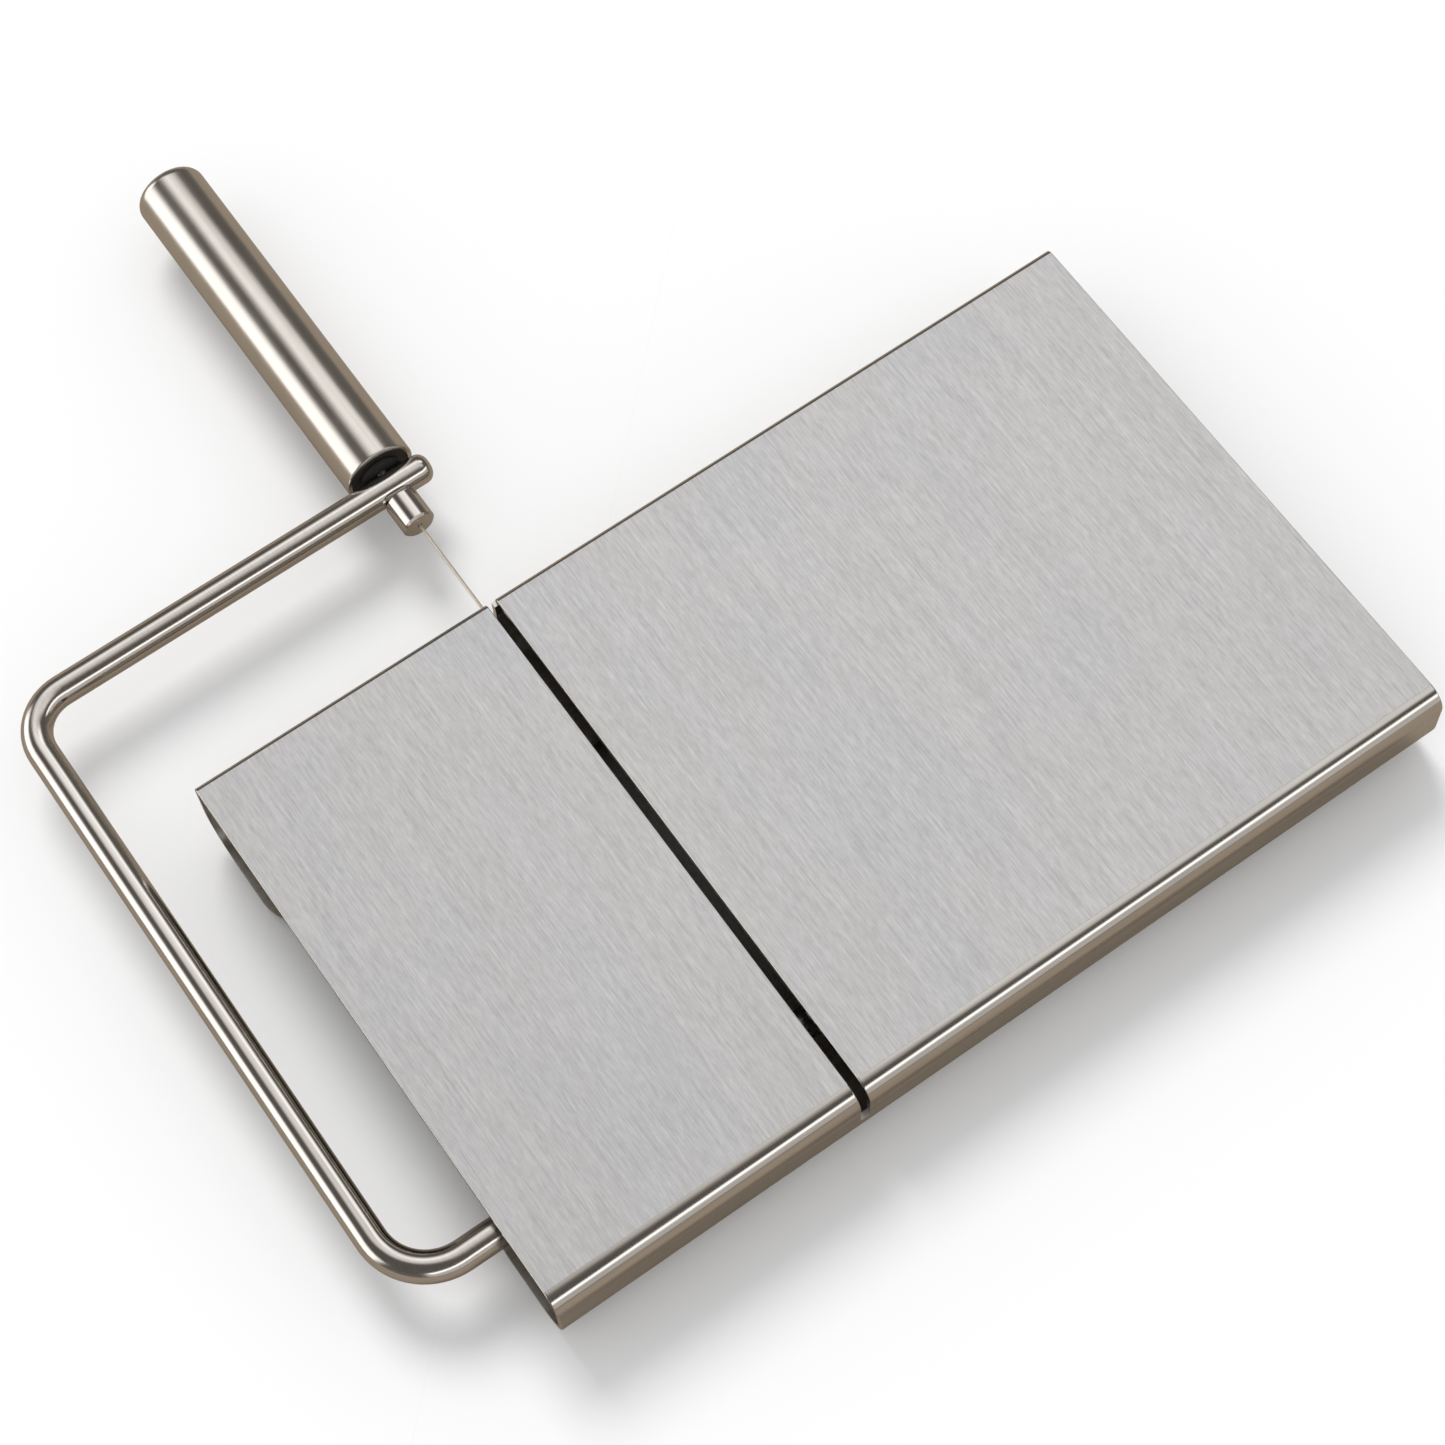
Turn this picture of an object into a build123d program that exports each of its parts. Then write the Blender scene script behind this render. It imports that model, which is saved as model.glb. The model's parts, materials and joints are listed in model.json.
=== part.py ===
"""Cheese board with a wire cutter on a swinging arm.

A folded stainless board stands on four rubber feet. A bent rod swings on two
brackets under the board and carries a tube handle at its free end. A thin wire
runs from the rod's pivot leg, through a slot in the board, to a holder that the
handle screws tight.

Millimetres, +Z up. The pieces are drawn from the board's front left corner, with
X along the board's long side and Y from front to back, and are then moved so that
the origin is the middle of the whole footprint, on the table.
"""
import os

from build123d import *

# ---- Board: one folded sheet, open at its left and right ends ----
board_length = 200.0
board_depth = 122.5
board_height = 20.0  # underside of the lips to the top face
sheet = 1.2
front_bend = 4.3  # outer radius of the rolled front edge
back_bend = 1.5  # outer radius of the sharper back edge
lip_bend = 8.5  # outer radius at the bottom of the front and back walls
lip_past_bracket = 1.4  # each lip reaches this far past the pivot brackets
lip_corner = 10.0
sheet_edge_round = 0.25

# ---- Slot for the wire ----
slot_x = 66.5  # from the board's left end
slot_width = 2.0
front_slot_floor = 9.8  # above the underside of the lips
wire_stop_gap = 0.3  # between the resting wire and the back slot's floor
wire_off_middle = 0.4  # the wire hangs this far left of the slot's middle
back_slit_width = 1.2  # narrow part of the slot in the back wall, where the wire rests

# ---- Rubber feet ----
foot_height = 2.0
foot_diameter = 11.0
foot_stem_diameter = 5.0
foot_barb_diameter = 6.8
foot_barb_height = 1.6
foot_edge = 0.5
foot_from_end = 14.0
foot_from_face = 15.0
push_fit = 0.02  # radial gap of pressed and pushed-in pieces

# ---- Arm: one bent round rod ----
rod_diameter = 6.2
axis_drop = 9.0  # arm's centre line below the board's top face
pivot_from_front = 20.6
leg_from_board = 19.0  # centre of the long leg to the left end of the board
back_leg_behind_board = 36.5
front_arm_bend = 12.0
back_arm_bend = 9.5
pivot_leg_overrun = 8.5  # past the wire
arm_overrun = 8.9  # past the wire
rod_end_round = 2.2

# ---- Pivot: brackets, bushes, washers and clips ----
left_bracket_x = 24.0
right_bracket_to_wire = 8.5
bracket_sheet = 1.5
bracket_bend = 1.0  # inner radius
bracket_width = 14.0
bracket_foot = 13.0
bracket_above_axis = 6.0
bracket_ear_round = 4.5
bracket_foot_round = 1.5
bush_wall = 1.1
bush_flange_diameter = 11.0
bush_flange = 1.0
running_gap = 0.05
end_float = 0.1
washer_diameter = 10.4
washer_thickness = 0.8
clip_diameter = 11.0
clip_thickness = 0.8
clip_ring_width = 1.5
clip_tooth_width = 1.8
clip_groove_depth = 0.6
clip_groove_play = 0.1
rivet_diameter = 3.0
rivet_head_diameter = 4.8
rivet_head_height = 0.9
rivet_head_round = 0.7
rivet_from_ear = 8.5
rivet_spacing = 8.0

# ---- Wire and its two ends ----
wire_diameter = 0.6
wire_hole_diameter = 1.0
ball_diameter = 2.6
ball_seat_diameter = 3.2
ball_seat_depth = 1.2
seat_gap = 0.05
button_diameter = 2.2
button_length = 1.8

# ---- Wire holder and tension stud ----
holder_diameter = 7.0
holder_length = 7.1
holder_front_wall = 1.8
holder_edge = 0.4
holder_gap = 0.3  # to the rod when the wire is tight
stud_diameter = 3.0
stud_in_holder = 3.0
stud_past_nut = 2.0
stud_edge = 0.3
stud_clearance = 0.1  # radial gap of the holes that the stud passes freely

# ---- Handle ----
handle_diameter = 15.0
handle_length = 82.0
handle_wall = 1.0
handle_rim = 2.2
handle_mouth_round = 0.35
thrust_washer_diameter = 9.0
thrust_washer_thickness = 0.8
plug_length = 17.0
plug_recess = 0.3
nut_across_flats = 5.5
nut_length = 12.0
nut_cover = 3.0  # plug in front of the nut

# ---- Worked out from the above ----
top_z = foot_height + board_height
lip_top_z = foot_height + sheet
axis_z = top_z - axis_drop
lip_depth = pivot_from_front + bracket_width / 2 + lip_past_bracket
back_leg_y = board_depth + back_leg_behind_board
rod_radius = rod_diameter / 2
leg_x = -leg_from_board
wire_x = slot_x - wire_off_middle
pivot_tip_x = wire_x + pivot_leg_overrun
arm_tip_x = wire_x + arm_overrun
right_bracket_x = wire_x - right_bracket_to_wire
bush_radius = rod_radius + running_gap + bush_wall
wire_radius = wire_diameter / 2
stud_radius = stud_diameter / 2
ball_seat_y = pivot_from_front - rod_radius + ball_seat_depth
ball_y = ball_seat_y - seat_gap - ball_diameter / 2
holder_back_y = back_leg_y - rod_radius - holder_gap
holder_front_y = holder_back_y - holder_length
holder_bore_y = holder_front_y + holder_front_wall
washer_start_y = back_leg_y + rod_radius + running_gap
handle_start_y = washer_start_y + thrust_washer_thickness + running_gap
handle_end_y = handle_start_y + handle_length
nut_start_y = handle_start_y + nut_cover
stud_end_y = nut_start_y + nut_length + stud_past_nut
handle_bore_radius = handle_diameter / 2 - handle_wall
clip_x = -(bush_flange + end_float + washer_thickness + running_gap + clip_thickness)
origin_x = (leg_x - rod_radius + board_length) / 2
origin_y = handle_end_y / 2
to_origin = Pos(-origin_x, -origin_y, 0)
through = 1.0  # how far a cut runs past the faces it goes through


def block(x_range, y_range, z_range):
    """Box between two values on each axis."""
    size = [high - low for low, high in (x_range, y_range, z_range)]
    middle = [(low + high) / 2 for low, high in (x_range, y_range, z_range)]
    return Pos(*middle) * Box(*size)


def bar_x(radius, start, end, y=0.0, z=0.0):
    """Round bar along X."""
    return Pos((start + end) / 2, y, z) * Rot(0, 90, 0) * Cylinder(radius, end - start)


def bar_y(radius, start, end):
    """Round bar along Y, on the line of the wire."""
    return Pos(wire_x, (start + end) / 2, axis_z) * Rot(90, 0, 0) * Cylinder(radius, end - start)


def bar_z(radius, start, end, x, y):
    """Upright round bar."""
    return Pos(x, y, (start + end) / 2) * Cylinder(radius, end - start)


def foot_places():
    """Name and place of each rubber foot."""
    for row, y in (("front", foot_from_face), ("back", board_depth - foot_from_face)):
        for side, x in (("left", foot_from_end), ("right", board_length - foot_from_end)):
            yield f"foot_{row}_{side}", x, y


def rivet_places():
    """Where the rivets go through the front lip."""
    for x in (left_bracket_x + rivet_from_ear, right_bracket_x - rivet_from_ear):
        for offset in (-rivet_spacing / 2, rivet_spacing / 2):
            yield x, pivot_from_front + offset


# ---- Board ----
def folded_outline(inset):
    """Closed outline of the folded section, shrunk by an inset on every side."""
    front, back = inset, board_depth - inset
    bottom, top = foot_height + inset, top_z - inset
    corners = [
        (front, bottom, lip_bend),
        (back, bottom, lip_bend),
        (back, top, back_bend),
        (front, top, front_bend),
    ]
    outline = make_face(Polyline(*[(y, z) for y, z, _ in corners], close=True))
    for y, z, radius in corners:
        corner = outline.vertices().sort_by_distance(Vertex(y, z, 0))[0]
        outline = fillet(corner, radius - inset)
    return outline


def board_plate():
    """Folded sheet with a slot across it and holes in its two lips."""
    section = folded_outline(0) - folded_outline(sheet)
    plate = extrude(Plane.YZ * section, board_length)
    plate -= block(
        (-through, board_length + through),
        (lip_depth, board_depth - lip_depth),
        (foot_height - through, lip_top_z + through),
    )
    lip_ends = [
        edge
        for edge in plate.edges().filter_by(Axis.Z)
        if lip_depth - through < edge.center().Y < board_depth - lip_depth + through
        and edge.center().Z < lip_top_z
    ]
    plate = fillet(lip_ends, lip_corner)
    slot_sides = (slot_x - slot_width / 2, slot_x + slot_width / 2)
    slit_sides = (wire_x - back_slit_width / 2, wire_x + back_slit_width / 2)
    middle = board_depth / 2
    plate -= block(
        slot_sides, (-through, middle), (foot_height + front_slot_floor, top_z + through)
    )
    plate -= block(
        slot_sides, (middle, board_depth + through), (top_z - back_bend, top_z + through)
    )
    plate -= block(
        slit_sides,
        (board_depth - back_bend - through, board_depth + through),
        (axis_z - wire_radius - wire_stop_gap, top_z + through),
    )
    for _, x, y in foot_places():
        plate -= bar_z(foot_stem_diameter / 2 + push_fit, 0, lip_top_z + through, x, y)
    for x, y in rivet_places():
        plate -= bar_z(rivet_diameter / 2 + push_fit, 0, lip_top_z + through, x, y)
    # Rounding runs on from these edges, round the bends and down the walls.
    top_edges = [e for e in plate.edges().filter_by(Axis.Y) if e.center().Z > top_z - sheet / 2]
    return fillet(top_edges, sheet_edge_round)


def rubber_foot(x, y):
    """Round pad under the lip with a barbed stem pushed through it."""
    pad = bar_z(foot_diameter / 2, 0, foot_height, x, y)
    pad = chamfer(pad.edges().sort_by(Axis.Z)[0], foot_edge)
    stem = bar_z(foot_stem_diameter / 2, foot_height, lip_top_z, x, y)
    barb = Pos(x, y, lip_top_z + foot_barb_height / 2) * Cone(
        foot_barb_diameter / 2, foot_stem_diameter / 2, foot_barb_height
    )
    return pad + stem + barb


# ---- Pivot, drawn with the bracket's ear at X = 0 and its foot towards +X ----
def bracket():
    """Sheet angle: its foot lies on the lip and its ear holds the bush."""
    low, high = lip_top_z, axis_z + bracket_above_axis
    outline = make_face(
        Polyline(
            (0, low),
            (bracket_foot, low),
            (bracket_foot, low + bracket_sheet),
            (bracket_sheet, low + bracket_sheet),
            (bracket_sheet, high),
            (0, high),
            close=True,
        )
    )
    outside = outline.vertices().sort_by_distance(Vertex(0, low, 0))[0]
    outline = fillet(outside, bracket_bend + bracket_sheet)
    inside = outline.vertices().sort_by_distance(
        Vertex(bracket_sheet, low + bracket_sheet, 0)
    )[0]
    outline = fillet(inside, bracket_bend)
    angle = Pos(0, pivot_from_front, 0) * extrude(
        Plane.XZ * outline, bracket_width / 2, both=True
    )
    ear_top = angle.edges().filter_by(Axis.X).sort_by(Axis.Z)[-2:]
    angle = fillet(ear_top, bracket_ear_round)
    foot_end = angle.edges().filter_by(Axis.Z).sort_by(Axis.X)[-2:]
    angle = fillet(foot_end, bracket_foot_round)
    angle -= bar_x(
        bush_radius + push_fit, -through, bracket_sheet + through, pivot_from_front, axis_z
    )
    for offset in (-rivet_spacing / 2, rivet_spacing / 2):
        angle -= bar_z(
            rivet_diameter / 2 + push_fit, 0, axis_z, rivet_from_ear, pivot_from_front + offset
        )
    return angle


def bush():
    """Flanged nylon bush in the ear."""
    body = bar_x(bush_radius, 0, bracket_sheet + running_gap, pivot_from_front, axis_z)
    body += bar_x(bush_flange_diameter / 2, -bush_flange, 0, pivot_from_front, axis_z)
    bore = rod_radius + running_gap
    return body - bar_x(bore, -bush_flange - through, bracket_sheet + through,
                        pivot_from_front, axis_z)


def pivot_washer():
    """Washer between the bush and the clip."""
    near = -bush_flange - end_float
    far = near - washer_thickness
    ring = bar_x(washer_diameter / 2, far, near, pivot_from_front, axis_z)
    return ring - bar_x(
        rod_radius + running_gap, far - through, near + through, pivot_from_front, axis_z
    )


def retaining_clip():
    """Open clip with three teeth in the rod's groove."""
    outer = clip_diameter / 2
    groove_radius = rod_radius - clip_groove_depth + push_fit
    ring = Circle(outer) - Circle(outer - clip_ring_width)
    for angle in (0, 120, 240):
        tooth_length = outer - clip_ring_width / 2 - groove_radius
        tooth_middle = groove_radius + tooth_length / 2
        ring += Rot(0, 0, angle) * Pos(tooth_middle, 0) * Rectangle(
            tooth_length, clip_tooth_width
        )
    ring -= Circle(groove_radius)
    ring -= Pos(-outer, 0) * Rectangle(outer * 2, rod_diameter - 2 * clip_groove_depth)
    shape = extrude(Plane.YZ * (Rot(0, 0, 90) * ring), clip_thickness)
    return Pos(clip_x, pivot_from_front, axis_z) * shape


def at_left(piece):
    """Place a pivot piece at the left bracket."""
    return Pos(left_bracket_x, 0, 0) * piece


def at_right(piece):
    """Place a pivot piece at the right bracket, turned the other way."""
    return Pos(right_bracket_x, 0, 0) * mirror(piece, about=Plane.YZ)


def bracket_rivets():
    """Rivets that hold the brackets to the front lip."""
    grip = (foot_height, lip_top_z + bracket_sheet)
    head_radius = rivet_head_diameter / 2
    rivets = []
    for x, y in rivet_places():
        rivet = bar_z(rivet_diameter / 2, *grip, x, y)
        upper = bar_z(head_radius, grip[1], grip[1] + rivet_head_height, x, y)
        rivet += fillet(upper.edges().sort_by(Axis.Z)[-1], rivet_head_round)
        lower = bar_z(head_radius, grip[0] - rivet_head_height, grip[0], x, y)
        rivet += fillet(lower.edges().sort_by(Axis.Z)[0], rivet_head_round)
        rivets.append(rivet)
    return Compound(children=rivets)


# ---- Arm ----
def clip_groove(middle):
    """Ring cut out of the rod for a clip."""
    half = (clip_thickness + clip_groove_play) / 2
    ring = bar_x(rod_diameter, middle - half, middle + half, pivot_from_front, axis_z)
    return ring - bar_x(
        rod_radius - clip_groove_depth, middle - half, middle + half, pivot_from_front, axis_z
    )


def arm_rod():
    """Rod bent from the pivot leg, round the board's left end, to the handle."""
    route = Pos(0, 0, axis_z) * FilletPolyline(
        (pivot_tip_x, pivot_from_front),
        (leg_x, pivot_from_front),
        (leg_x, back_leg_y),
        (arm_tip_x, back_leg_y),
        radius=[front_arm_bend, back_arm_bend],
    )
    rod = sweep(Plane(origin=route @ 0, z_dir=route % 0) * Circle(rod_radius), path=route)
    ends = [
        edge
        for edge in rod.edges().filter_by(GeomType.CIRCLE)
        if edge.center().X > wire_x + rod_radius
    ]
    rod = fillet(ends, rod_end_round)
    clip_middle = clip_x + clip_thickness / 2
    rod -= clip_groove(left_bracket_x + clip_middle)
    rod -= clip_groove(right_bracket_x - clip_middle)
    rod -= bar_y(
        wire_hole_diameter / 2, pivot_from_front - rod_diameter, pivot_from_front + rod_diameter
    )
    rod -= bar_y(ball_seat_diameter / 2, pivot_from_front - rod_diameter, ball_seat_y)
    rod -= bar_y(
        stud_radius + running_gap,
        back_leg_y - rod_diameter,
        back_leg_y + rod_diameter,
    )
    return rod


# ---- Wire, holder and stud ----
def wire_end_ball():
    """Ball crimped on the front end of the wire."""
    ball = Pos(wire_x, ball_y, axis_z) * Sphere(ball_diameter / 2)
    return ball - bar_y(wire_radius + push_fit, ball_y - ball_diameter, ball_y + ball_diameter)


def cutting_wire():
    """Taut stainless wire from the ball to the button."""
    return bar_y(wire_radius, ball_y - ball_diameter / 2, holder_bore_y + button_length)


def wire_button():
    """Button crimped on the back end of the wire, inside the holder."""
    button = bar_y(button_diameter / 2, holder_bore_y, holder_bore_y + button_length)
    hole = bar_y(
        wire_radius + push_fit, holder_bore_y - through, holder_bore_y + button_length + through
    )
    return button - hole


def wire_holder():
    """Barrel in front of the rod that the wire pulls against."""
    barrel = bar_y(holder_diameter / 2, holder_front_y, holder_back_y)
    barrel = chamfer(barrel.edges().filter_by(GeomType.CIRCLE), holder_edge)
    barrel -= bar_y(wire_hole_diameter / 2, holder_front_y - through, holder_back_y + through)
    return barrel - bar_y(stud_radius + push_fit, holder_bore_y, holder_back_y + through)


def tension_stud():
    """Threaded stud from the holder, through the rod, into the handle's nut."""
    stud = bar_y(stud_radius, holder_back_y - stud_in_holder, stud_end_y)
    return chamfer(stud.edges().filter_by(GeomType.CIRCLE), stud_edge)


# ---- Handle ----
def handle_tube():
    """Drawn tube, closed and rounded at its far end."""
    outside = bar_y(handle_diameter / 2, handle_start_y, handle_end_y)
    rim = outside.edges().filter_by(GeomType.CIRCLE).sort_by(Axis.Y)
    outside = fillet(rim[-1], handle_rim)
    mouth = outside.edges().filter_by(GeomType.CIRCLE).sort_by(Axis.Y)
    outside = fillet(mouth[0], handle_mouth_round)
    inside = bar_y(handle_bore_radius, handle_start_y - through, handle_end_y - handle_wall)
    inside_rim = inside.edges().filter_by(GeomType.CIRCLE).sort_by(Axis.Y)
    return outside - fillet(inside_rim[-1], handle_rim - handle_wall)


def nut_prism(across_flats, start, end):
    """Six-sided bar along the wire's line."""
    hexagon = RegularPolygon(across_flats / 2, 6, major_radius=False)
    prism = Rot(90, 0, 0) * extrude(hexagon, (end - start) / 2, both=True)
    return Pos(wire_x, (start + end) / 2, axis_z) * prism


def handle_plug():
    """Nylon plug pressed into the tube, with a pocket for the nut."""
    front, back = handle_start_y + plug_recess, handle_start_y + plug_length
    plug = bar_y(handle_bore_radius - push_fit, front, back)
    plug -= bar_y(stud_radius + stud_clearance, front - through, back + through)
    return plug - nut_prism(nut_across_flats + 2 * push_fit, nut_start_y, back + through)


def handle_nut():
    """Long brass nut that the stud screws into."""
    nut = nut_prism(nut_across_flats, nut_start_y, nut_start_y + nut_length)
    return nut - bar_y(
        stud_radius + running_gap, nut_start_y - through, nut_start_y + nut_length + through
    )


def thrust_washer():
    """Washer that the handle turns against."""
    end = washer_start_y + thrust_washer_thickness
    ring = bar_y(thrust_washer_diameter / 2, washer_start_y, end)
    return ring - bar_y(stud_radius + stud_clearance, washer_start_y - through, end + through)


def pieces():
    """Every piece of the cutter, by name."""
    made = {"board_plate": board_plate()}
    for name, x, y in foot_places():
        made[name] = rubber_foot(x, y)
    pivot_set = {
        "pivot_bracket": bracket(),
        "pivot_bush": bush(),
        "pivot_washer": pivot_washer(),
        "retaining_clip": retaining_clip(),
    }
    for name, piece in pivot_set.items():
        made[name + "_left"] = at_left(piece)
        made[name + "_right"] = at_right(piece)
    made["bracket_rivets"] = bracket_rivets()
    made["arm_rod"] = arm_rod()
    made["wire_end_ball"] = wire_end_ball()
    made["cutting_wire"] = cutting_wire()
    made["wire_button"] = wire_button()
    made["wire_holder"] = wire_holder()
    made["tension_stud"] = tension_stud()
    made["thrust_washer"] = thrust_washer()
    made["handle_tube"] = handle_tube()
    made["handle_plug"] = handle_plug()
    made["handle_nut"] = handle_nut()
    return made


os.makedirs("parts", exist_ok=True)
for node, piece in pieces().items():
    export_step(to_origin * piece, f"parts/{node}.step")
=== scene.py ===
"""Looks of the cheese board with its swinging wire cutter: steel, rubber, nylon and light.

Everything is in metres, in the model's frame: +X along the board, +Y from its front
to its back, +Z up.
"""

import json
import math

import bmesh
import bpy
from mathutils import Matrix, Vector


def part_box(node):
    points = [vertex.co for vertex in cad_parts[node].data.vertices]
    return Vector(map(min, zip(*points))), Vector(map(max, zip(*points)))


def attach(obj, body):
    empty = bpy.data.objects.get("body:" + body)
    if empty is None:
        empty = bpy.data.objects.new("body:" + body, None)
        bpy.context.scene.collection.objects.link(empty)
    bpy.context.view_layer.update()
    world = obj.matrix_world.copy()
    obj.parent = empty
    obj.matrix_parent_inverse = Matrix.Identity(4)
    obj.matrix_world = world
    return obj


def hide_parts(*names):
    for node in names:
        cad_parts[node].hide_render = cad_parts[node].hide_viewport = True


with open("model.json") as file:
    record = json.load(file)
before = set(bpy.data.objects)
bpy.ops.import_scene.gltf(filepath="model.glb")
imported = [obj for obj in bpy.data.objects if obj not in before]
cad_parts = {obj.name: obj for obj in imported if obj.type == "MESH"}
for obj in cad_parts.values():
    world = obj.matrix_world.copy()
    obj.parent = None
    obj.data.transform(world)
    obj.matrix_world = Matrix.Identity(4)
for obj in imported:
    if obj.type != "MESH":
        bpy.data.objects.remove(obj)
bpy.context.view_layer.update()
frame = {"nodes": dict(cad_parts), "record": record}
nodes = frame["nodes"]
board_low, board_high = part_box("board_plate")
top_z = board_high.z


def colour(red, green, blue):
    """Linear colour from display values, 0 to 255."""
    return tuple(
        v / 12.92 if v <= 0.04045 else ((v + 0.055) / 1.055) ** 2.4
        for v in (red / 255, green / 255, blue / 255)
    )


def heading(azimuth, elevation):
    """Unit vector in a direction: degrees from +Y towards +X, and degrees upwards."""
    turn, rise = math.radians(azimuth), math.radians(elevation)
    return Vector(
        (math.sin(turn) * math.cos(rise), math.cos(turn) * math.cos(rise), math.sin(rise))
    )


def object_from(shape, name, material):
    """Object in the scene with a shape's mesh and one material."""
    mesh = bpy.data.meshes.new(name)
    shape.to_mesh(mesh)
    shape.free()
    mesh.materials.append(material)
    made = bpy.data.objects.new(name, mesh)
    bpy.context.scene.collection.objects.link(made)
    return made


# ---- Node graphs ----
class Graph:
    """Adds nodes to one tree with short calls."""

    def __init__(self, tree):
        self.tree = tree

    def node(self, kind, inputs=None, **settings):
        """A node with its settings, and its inputs set or linked by name or number."""
        made = self.tree.nodes.new(kind)
        for name, value in settings.items():
            setattr(made, name, value)
        for name, value in (inputs or {}).items():
            self.feed(made.inputs[name], value)
        return made

    def feed(self, socket, value):
        """Set a socket, or link it if the value is an output."""
        if isinstance(value, bpy.types.NodeSocket):
            self.tree.links.new(value, socket)
        else:
            socket.default_value = value

    def arithmetic(self, operation, first, second=0.0):
        """One arithmetic step."""
        made = self.node("ShaderNodeMath", {0: first, 1: second}, operation=operation)
        return made.outputs[0]

    def weighted(self, *pairs):
        """Sum of values, each times its weight."""
        total, *rest = [self.arithmetic("MULTIPLY", value, weight) for value, weight in pairs]
        for share in rest:
            total = self.arithmetic("ADD", total, share)
        return total

    def span(self, value, low, high, to_low=0.0, to_high=1.0, smooth=False):
        """Value remapped from one range to another, held at the ends."""
        ranges = {
            "Value": value,
            "From Min": low,
            "From Max": high,
            "To Min": to_low,
            "To Max": to_high,
        }
        kind = "SMOOTHSTEP" if smooth else "LINEAR"
        made = self.node("ShaderNodeMapRange", ranges, interpolation_type=kind, clamp=True)
        return made.outputs["Result"]

    def mix(self, share, first, second, blend_type="MIX"):
        """Blend of two colours."""
        made = self.node("ShaderNodeMix", data_type="RGBA", blend_type=blend_type)
        self.feed(made.inputs["Factor"], share)
        for socket, value in ((made.inputs[6], first), (made.inputs[7], second)):
            self.feed(socket, (*value, 1.0) if isinstance(value, tuple) else value)
        return made.outputs[2]


class Finish(Graph):
    """One material's nodes, laid out by position on the object."""

    def __init__(self, name):
        self.material = bpy.data.materials.new(name)
        self.material.use_nodes = True
        super().__init__(self.material.node_tree)
        self.shader = self.tree.nodes["Principled BSDF"]

    def place(self):
        """Position on the object."""
        return self.node("ShaderNodeTexCoord").outputs["Object"]

    def axis(self, name):
        """One coordinate of the position."""
        return self.node("ShaderNodeSeparateXYZ", {"Vector": self.place()}).outputs[name]

    def noise(self, scale, detail=3.0, roughness=0.6, offset=(0, 0, 0)):
        """Noise from 0 to 1, with its scale on each axis in waves per metre."""
        stretched = self.node(
            "ShaderNodeMapping", {"Vector": self.place(), "Scale": scale, "Location": offset}
        )
        made = self.node(
            "ShaderNodeTexNoise",
            {
                "Vector": stretched.outputs["Vector"],
                "Scale": 1.0,
                "Detail": detail,
                "Roughness": roughness,
            },
        )
        return made.outputs["Fac"]

    def bump(self, height, distance, strength):
        """Normal from a height."""
        inputs = {"Height": height, "Distance": distance, "Strength": strength}
        return self.node("ShaderNodeBump", inputs).outputs["Normal"]

    def finish(self, **inputs):
        """Feed the shader's sockets and return the material."""
        for name, value in inputs.items():
            self.feed(self.shader.inputs[name.replace("_", " ")], value)
        return self.material


# ---- Board steel ----
brushed_depth = 0.00004  # only the very top of the sheet is brushed
front_bend_reach = 0.0042  # from the front wall to where the top goes flat
polished_depth = 0.003  # the front bend is polished down to this far below the top
satin_depth = 0.0056  # and satin from this far down
top_metallic = 0.72  # the brushed top scatters some light evenly


def board_steel():
    """Sheet steel: straight brushing on the top, satin on the folded walls."""
    g = Finish("board_steel")
    y, z = g.axis("Y"), g.axis("Z")
    on_top = g.arithmetic(
        "MULTIPLY",
        g.arithmetic("GREATER_THAN", z, top_z - brushed_depth),
        g.arithmetic("GREATER_THAN", y, board_low.y + front_bend_reach),
    )
    off_top = g.arithmetic("SUBTRACT", 1.0, on_top)

    fine = g.noise((6200, 130, 110))
    streaks = g.noise((2300, 34, 30), 3.0, 0.55, (3, 1, 0))
    flecks = g.noise((2100, 420, 300), 2.0, 0.6, (7, 2, 0))
    cloud = g.noise((38, 24, 20), offset=(1, 5, 0))
    tone = g.weighted((fine, 0.40), (streaks, 0.25), (flecks, 0.35))
    brushed = g.mix(g.span(tone, 0.36, 0.64), colour(209, 209, 209), colour(236, 236, 236))
    tint = g.mix(g.span(cloud, 0.35, 0.65), colour(252, 251, 251), colour(249, 249, 253))
    rough_top = g.span(tone, 0.35, 0.65, 0.50, 0.42)

    grain = g.noise((30, 900, 900), offset=(2, 0, 4))
    satin = g.mix(g.span(grain, 0.35, 0.65), colour(214, 211, 207), colour(226, 223, 219))
    rough_wall = g.arithmetic(
        "ADD",
        g.span(z, top_z - satin_depth, top_z - polished_depth, 0.30, 0.11),
        g.span(grain, 0.3, 0.7, 0.0, 0.05),
    )
    return g.finish(
        Base_Color=g.mix(on_top, satin, g.mix(1.0, brushed, tint, "MULTIPLY")),
        Metallic=g.span(on_top, 0.0, 1.0, 1.0, top_metallic),
        Roughness=g.weighted((on_top, rough_top), (off_top, rough_wall)),
        Normal=g.bump(g.arithmetic("MULTIPLY", tone, on_top), 0.00002, 0.6),
    )


# ---- Drawn and turned metal ----
grain_scales = {"X": (60, 3000, 3000), "Y": (3000, 60, 3000), "Z": (3000, 3000, 60)}

# Name: darker and lighter colour, least and most roughness, axis of the grain, seed.
drawn_metals = {
    "rod_steel": ((216, 212, 207), (228, 225, 221), 0.12, 0.18, "Y", 0),
    "handle_steel": ((216, 212, 206), (228, 224, 219), 0.18, 0.25, "Y", 5),
    "bracket_steel": ((184, 182, 178), (204, 202, 198), 0.30, 0.40, "X", 2),
    "hardware_steel": ((186, 183, 178), (208, 205, 200), 0.20, 0.30, "Z", 7),
    "wire_steel": ((238, 228, 212), (248, 240, 228), 0.42, 0.48, "Y", 9),
    "brass": ((190, 158, 92), (208, 178, 112), 0.24, 0.34, "Y", 11),
}


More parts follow.
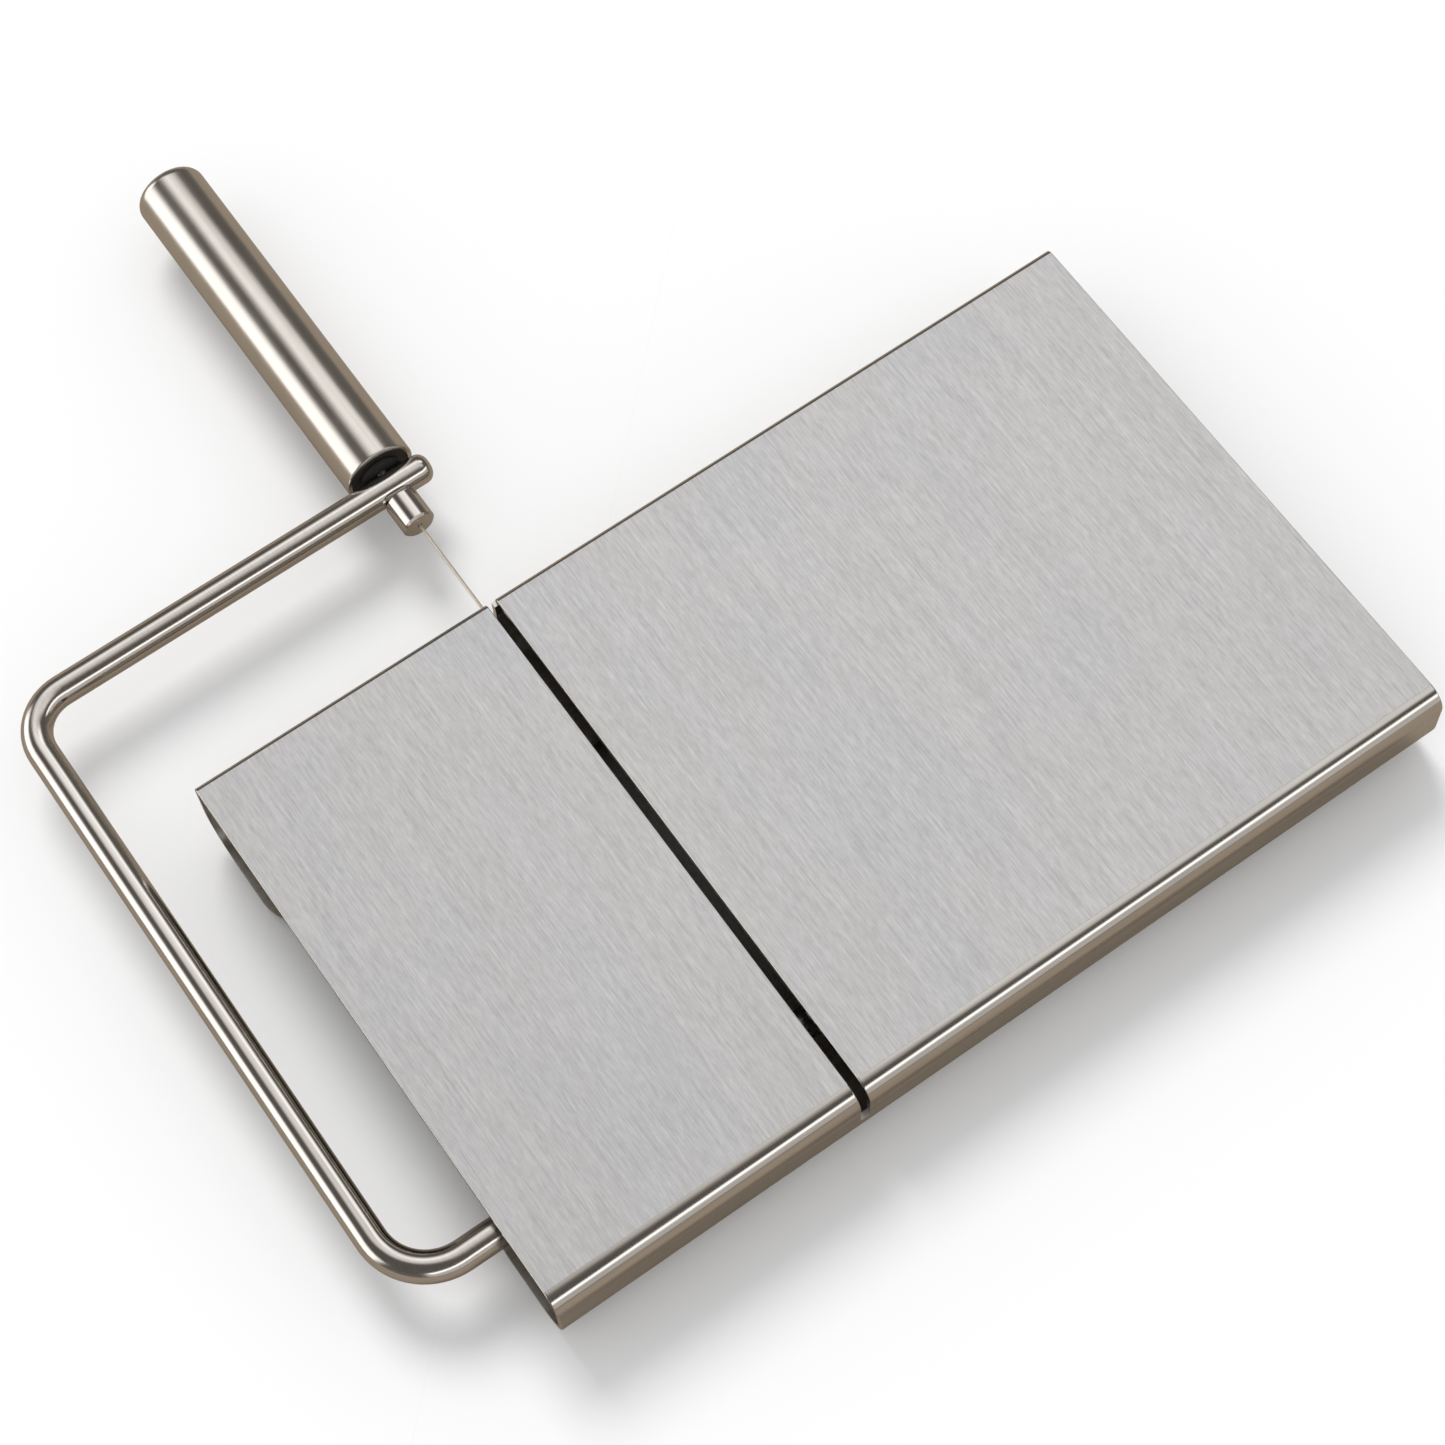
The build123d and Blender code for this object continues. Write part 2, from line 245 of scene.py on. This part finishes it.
def drawn_metal(name, darker, lighter, rough_least, rough_most, along, seed):
    """Satin metal with a faint grain along one axis."""
    g = Finish(name)
    grain = g.noise(grain_scales[along], offset=(seed, seed, seed))
    cloud = g.noise((90, 90, 90), offset=(seed + 3, 1, 2))
    scuffs = g.noise((700, 700, 700), 4.0, 0.65, (seed, 8, 4))
    tone = g.weighted((grain, 0.6), (cloud, 0.4))
    wear = g.weighted((tone, 0.7), (scuffs, 0.3))
    return g.finish(
        Base_Color=g.mix(g.span(tone, 0.35, 0.65), colour(*darker), colour(*lighter)),
        Metallic=1.0,
        Roughness=g.span(wear, 0.3, 0.7, rough_least, rough_most),
        Normal=g.bump(grain, 0.00001, 0.35),
    )


# ---- Plastics and rubber ----
# Name: darker and lighter linear colour, least and most roughness, grain size, grain depth.
moulded_plastics = {
    "foot_rubber": (
        (0.018, 0.018, 0.018), (0.03, 0.029, 0.028), 0.60, 0.75, 0.0002, 0.00002
    ),
    "nylon": ((0.66, 0.64, 0.58), (0.72, 0.70, 0.65), 0.38, 0.50, 0.0003, 0.00001),
    "black_nylon": (
        (0.022, 0.020, 0.018), (0.035, 0.031, 0.028), 0.40, 0.55, 0.0003, 0.00001
    ),
}


def moulded(name, darker, lighter, rough_least, rough_most, grain_size, grain_depth):
    """Moulded rubber or plastic with a fine matt grain."""
    g = Finish(name)
    fine = g.noise((1 / grain_size,) * 3)
    cloud = g.noise((220, 220, 220), 2.0, 0.5, (4, 2, 9))
    return g.finish(
        Base_Color=g.mix(g.span(cloud, 0.3, 0.7), darker, lighter),
        Roughness=g.span(fine, 0.3, 0.7, rough_least, rough_most),
        Normal=g.bump(fine, grain_depth, 0.5),
    )


finishes = {"board_steel": board_steel()}
for name, values in drawn_metals.items():
    finishes[name] = drawn_metal(name, *values)
for name, values in moulded_plastics.items():
    finishes[name] = moulded(name, *values)
for part in frame["record"]["subparts"]:
    materials = nodes[part["node"]].data.materials
    materials.clear()
    materials.append(finishes[part["material_slot"]])


# ---- Threaded stud ----
thread_pitch = 0.0005
thread_depth = 0.00031
groove_half = 7 / 16  # of the pitch, from the groove's bottom to the crest
thread_sides = 48
rings_per_turn = 10


def threaded_stud():
    """Stud with a real M3 thread in place of the plain round one."""
    low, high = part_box("tension_stud")
    length = high.y - low.y
    middle_x, middle_z = (low.x + high.x) / 2, (low.z + high.z) / 2
    crest = (high.x - low.x) / 2
    root = crest - thread_depth
    rings = round(length / thread_pitch * rings_per_turn)
    shape = bmesh.new()
    rows = []
    for ring in range(rings + 1):
        y = low.y + length * ring / rings
        to_end = min(y - low.y, high.y - y)
        row = []
        for side in range(thread_sides):
            angle = 2 * math.pi * side / thread_sides
            share = (y / thread_pitch + side / thread_sides) % 1.0
            groove = max(0.0, 1.0 - abs(share - 0.5) / groove_half)
            radius = min(crest - thread_depth * groove, root + to_end)
            x = middle_x + radius * math.cos(angle)
            z = middle_z + radius * math.sin(angle)
            row.append(shape.verts.new((x, y, z)))
        rows.append(row)
    for near, far in zip(rows, rows[1:]):
        for side in range(thread_sides):
            after = (side + 1) % thread_sides
            shape.faces.new((near[side], near[after], far[after], far[side]))
    shape.faces.new(rows[0][::-1])
    shape.faces.new(rows[-1])
    bmesh.ops.recalc_face_normals(shape, faces=shape.faces)
    stud = object_from(shape, "stud_thread", finishes["hardware_steel"])
    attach(stud, "wire")
    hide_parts("tension_stud")


# ---- Floor ----
floor_half = 12.0
floor_seen = (0.93, 0.93, 0.935)
floor_mirrored = (0.33, 0.275, 0.215)  # warmer and darker, as the steel shows it
floor_painted_shade = (0.012, 0.010, 0.008)  # painted shade, near black, close under the board
painted_shade_reach = 0.05


def studio_floor():
    """Plain pale floor, darker where the steel mirrors it, with painted shade close under the
    board.
    """
    corners = [(-floor_half, -floor_half), (floor_half, -floor_half)]
    corners += [(floor_half, floor_half), (-floor_half, floor_half)]
    shape = bmesh.new()
    shape.faces.new([shape.verts.new((x, y, 0)) for x, y in corners])
    g = Finish("floor")
    direct = g.node("ShaderNodeLightPath").outputs["Is Camera Ray"]
    # Ambient occlusion marks where the painted shade goes.
    open_sky = g.node("ShaderNodeAmbientOcclusion", {"Distance": painted_shade_reach}).outputs["AO"]
    lit = g.mix(direct, floor_mirrored, floor_seen)
    g.finish(
        # Painted shade: near black under the board, fading into the lit floor towards its
        # edges.
        Base_Color=g.mix(g.span(open_sky, 0.08, 0.35), floor_painted_shade, lit),
        Roughness=0.9,
        Specular_IOR_Level=0.0,
    )
    object_from(shape, "floor", g.material)


# ---- Light ----
ambient = 0.74
low_glow, high_glow = 0.16, 0.10  # between the panels, at the horizon and well above it
dim_tint = (1.0, 0.90, 0.80)
bright_tint = (1.0, 0.985, 0.96)

# Azimuth and elevation, width, height and softness of the edge, all in degrees; strength.
mirrored_panels = [
    (-58, 17, 70, 42, 9, 1.45),
    (32, 52, 58, 18, 8, 0.85),
    (57, 49, 18, 14, 6, 0.50),
    (60, 74, 56, 26, 10, 0.72),
    (166, 38, 90, 12, 3, 1.45),
    (172, 19, 90, 30, 6, 0.42),
]


def panel(g, direction, azimuth, elevation, wide, tall, soft, strength):
    """Soft-edged rectangle of light in one direction."""
    facing, side = heading(azimuth, elevation), heading(azimuth + 90, 0)
    ahead, across, above = (
        g.node("ShaderNodeVectorMath", {0: direction, 1: arrow}, operation="DOT_PRODUCT")
        .outputs["Value"]
        for arrow in (facing, side, side.cross(facing))
    )
    depth = g.arithmetic("MAXIMUM", ahead, 0.05)
    blur = math.tan(math.radians(soft))
    light = g.span(ahead, 0.0, 0.1, smooth=True)
    for offset, size in ((across, wide), (above, tall)):
        ratio = g.arithmetic("ABSOLUTE", g.arithmetic("DIVIDE", offset, depth))
        edge = math.tan(math.radians(size / 2))
        inside = g.span(ratio, edge - blur, edge + blur, 1.0, 0.0, smooth=True)
        light = g.arithmetic("MULTIPLY", light, inside)
    return g.arithmetic("MULTIPLY", light, strength)


def studio_world():
    """Even pale light, and in reflections a dim room with soft panels."""
    world = bpy.data.worlds.new("studio")
    bpy.context.scene.world = world
    world.use_nodes = True
    world.node_tree.nodes.clear()
    g = Graph(world.node_tree)
    direction = g.node("ShaderNodeTexCoord").outputs["Generated"]
    up = g.node("ShaderNodeSeparateXYZ", {0: direction}).outputs["Z"]
    room = g.span(up, -0.1, 0.5, low_glow, high_glow, smooth=True)
    for values in mirrored_panels:
        room = g.arithmetic("ADD", room, panel(g, direction, *values))
    tint = g.mix(g.span(room, 0.05, 0.9, smooth=True), dim_tint, bright_tint)
    mirrored = g.node("ShaderNodeBackground", {"Color": tint, "Strength": room})
    plain = g.node("ShaderNodeBackground", {"Color": (1, 1, 1, 1), "Strength": ambient})
    glossy = g.node("ShaderNodeLightPath").outputs["Is Glossy Ray"]
    sources = {0: glossy, 1: plain.outputs[0], 2: mirrored.outputs[0]}
    either = g.node("ShaderNodeMixShader", sources)
    g.node("ShaderNodeOutputWorld", {"Surface": either.outputs[0]})


def key_light():
    """Broad soft light from behind, for the shadows on the floor."""
    data = bpy.data.lights.new("key", "SUN")
    data.energy = 1.5
    data.angle = math.radians(27)
    data.color = (1.0, 0.995, 0.985)
    key = bpy.data.objects.new("key", data)
    bpy.context.scene.collection.objects.link(key)
    towards = Vector((-0.15, -0.64, -0.75))
    key.rotation_mode = "QUATERNION"
    key.rotation_quaternion = towards.to_track_quat("-Z", "Y")
    key.visible_glossy = False


# ---- Camera ----
camera_azimuth = 30.60
camera_elevation = 65.68
camera_roll = 4.76
camera_distance = 0.6286
camera_lens = 83.54  # millimetres, on a sensor 36 mm wide
aim_right, aim_back = 0.0879, 0.0754  # on the board's top, from its front left corner


def place_camera():
    """Camera above the board's front left, looking down across it."""
    data = bpy.data.cameras.new("camera")
    data.sensor_width = 36.0
    data.lens = camera_lens
    data.clip_start, data.clip_end = 0.01, 100.0
    camera = bpy.data.objects.new("camera", data)
    bpy.context.scene.collection.objects.link(camera)
    ahead = heading(camera_azimuth, -camera_elevation)
    aim = Vector((board_low.x + aim_right, board_low.y + aim_back, top_z))
    turn = ahead.to_track_quat("-Z", "Y").to_matrix()
    roll = Matrix.Rotation(-math.radians(camera_roll), 3, "Z")
    camera.rotation_mode = "QUATERNION"
    camera.rotation_quaternion = (turn @ roll).to_quaternion()
    camera.location = aim - ahead * camera_distance
    bpy.context.scene.camera = camera


threaded_stud()
studio_floor()
studio_world()
key_light()
place_camera()
bpy.context.scene.view_settings.view_transform = "Standard"
